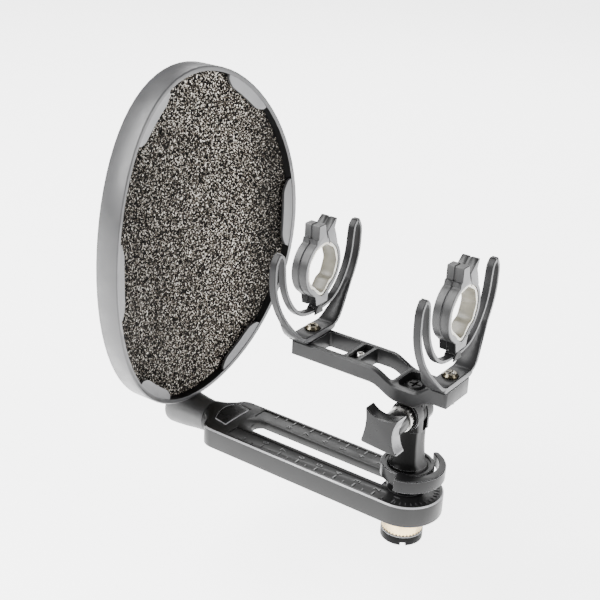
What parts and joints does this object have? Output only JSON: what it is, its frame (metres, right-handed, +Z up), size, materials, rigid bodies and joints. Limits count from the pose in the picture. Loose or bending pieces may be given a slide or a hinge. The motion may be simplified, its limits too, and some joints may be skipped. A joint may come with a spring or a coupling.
{
  "type": "microphone pop filter with shock mount",
  "caption": "Oval foam pop filter on a slotted swivelling arm, with a stand-thread foot, cable hook and a tilting bar whose sprung clips hold a microphone.",
  "frame": {"origin": "centre of the stand thread at the bottom of the adapter", "axes": "+Z up along the post, +X from the filter towards the microphone, Y across the arm"},
  "size_m": [0.1524, 0.1262, 0.1869],
  "materials": {
    "black_plastic": "moulded, fine satin grain",
    "satin_plastic": "moulded black, satin sheen with brighter worn edges",
    "lyre_plastic": "moulded black elastomer, smooth",
    "foam": "open-cell reticulated charcoal foam",
    "steel": "bright zinc",
    "dark_steel": "blackened",
    "brass": "turned and knurled",
    "cream_elastomer": "milky translucent soft moulding",
    "badge_metal": "blank dark plate, satin"
  },
  "bodies": {
    "stand_foot": {"thread_adapter": "black_plastic", "brass_stand_bush": "brass"},
    "slider": {"slider_plate": "dark_steel"},
    "arm": {"slotted_arm": "satin_plastic", "badge_plate": "badge_metal", "arm_pivot_sleeve": "dark_steel", "pivot_screw": "steel", "pivot_spring_washer": "steel"},
    "filter": {"filter_barrel": "satin_plastic", "barrel_end_cap": "black_plastic", "filter_hoop": "satin_plastic", "foam_disc": "foam"},
    "cable_clip": {"cable_clip": "satin_plastic"},
    "post": {"post_collar": "black_plastic", "swivel_post": "satin_plastic", "toothed_washer": "steel", "captive_nut": "dark_steel"},
    "knob": {"wing_knob": "satin_plastic", "knob_bolt": "steel", "knob_washer": "steel"},
    "head": {"mount_bar": "satin_plastic", "tilt_lug": "black_plastic", "lug_screw": "dark_steel", "bar_screw": "steel", "front_lyre_arms": "lyre_plastic", "front_lyre_screw": "steel", "front_lyre_nut": "dark_steel", "rear_lyre_arms": "lyre_plastic", "rear_lyre_screw": "steel", "rear_lyre_nut": "dark_steel"},
    "front_clip": {"front_lyre_loop": "lyre_plastic", "front_clip_shell": "satin_plastic", "front_clip_liner": "cream_elastomer", "front_clip_peg": "black_plastic"},
    "rear_clip": {"rear_lyre_loop": "lyre_plastic", "rear_clip_shell": "satin_plastic", "rear_clip_liner": "cream_elastomer", "rear_clip_peg": "black_plastic"}
  },
  "joints": [
    {"name": "arm_turn", "type": "hinge", "parent": "stand_foot", "child": "slider", "pos_m": [0, 0, 0.0196], "axis": [0, 0, 1], "continuous": true},
    {"name": "arm_slide", "type": "slide", "parent": "slider", "child": "arm", "axis": [1, 0, 0], "range_m": [0, 0.05]},
    {"name": "filter_swing", "type": "hinge", "parent": "arm", "child": "filter", "pos_m": [-0.112, 0, 0.0194], "axis": [1, 0, 0], "range_deg": [-90, 90]},
    {"name": "clip_turn", "type": "hinge", "parent": "stand_foot", "child": "cable_clip", "pos_m": [0, 0, 0.0341], "axis": [0, 0, 1], "continuous": true},
    {"name": "post_turn", "type": "hinge", "parent": "stand_foot", "child": "post", "pos_m": [0, 0, 0.04], "axis": [0, 0, 1], "continuous": true},
    {"name": "head_tilt", "type": "hinge", "parent": "post", "child": "head", "pos_m": [0, 0, 0.062], "axis": [0, 1, 0], "range_deg": [-30, 30]},
    {"name": "knob_turn", "type": "hinge", "parent": "post", "child": "knob", "pos_m": [0, -0.012, 0.062], "axis": [0, 1, 0], "continuous": true},
    {"name": "front_clip_sway", "type": "hinge", "parent": "head", "child": "front_clip", "pos_m": [-0.052, 0, 0.1262], "axis": [0, 1, 0], "range_deg": [-5, 5], "stiffness_Nm_per_rad": 0.2},
    {"name": "rear_clip_sway", "type": "hinge", "parent": "head", "child": "rear_clip", "pos_m": [0.0156, 0, 0.1262], "axis": [0, 1, 0], "range_deg": [-5, 5], "stiffness_Nm_per_rad": 0.2}
  ]
}
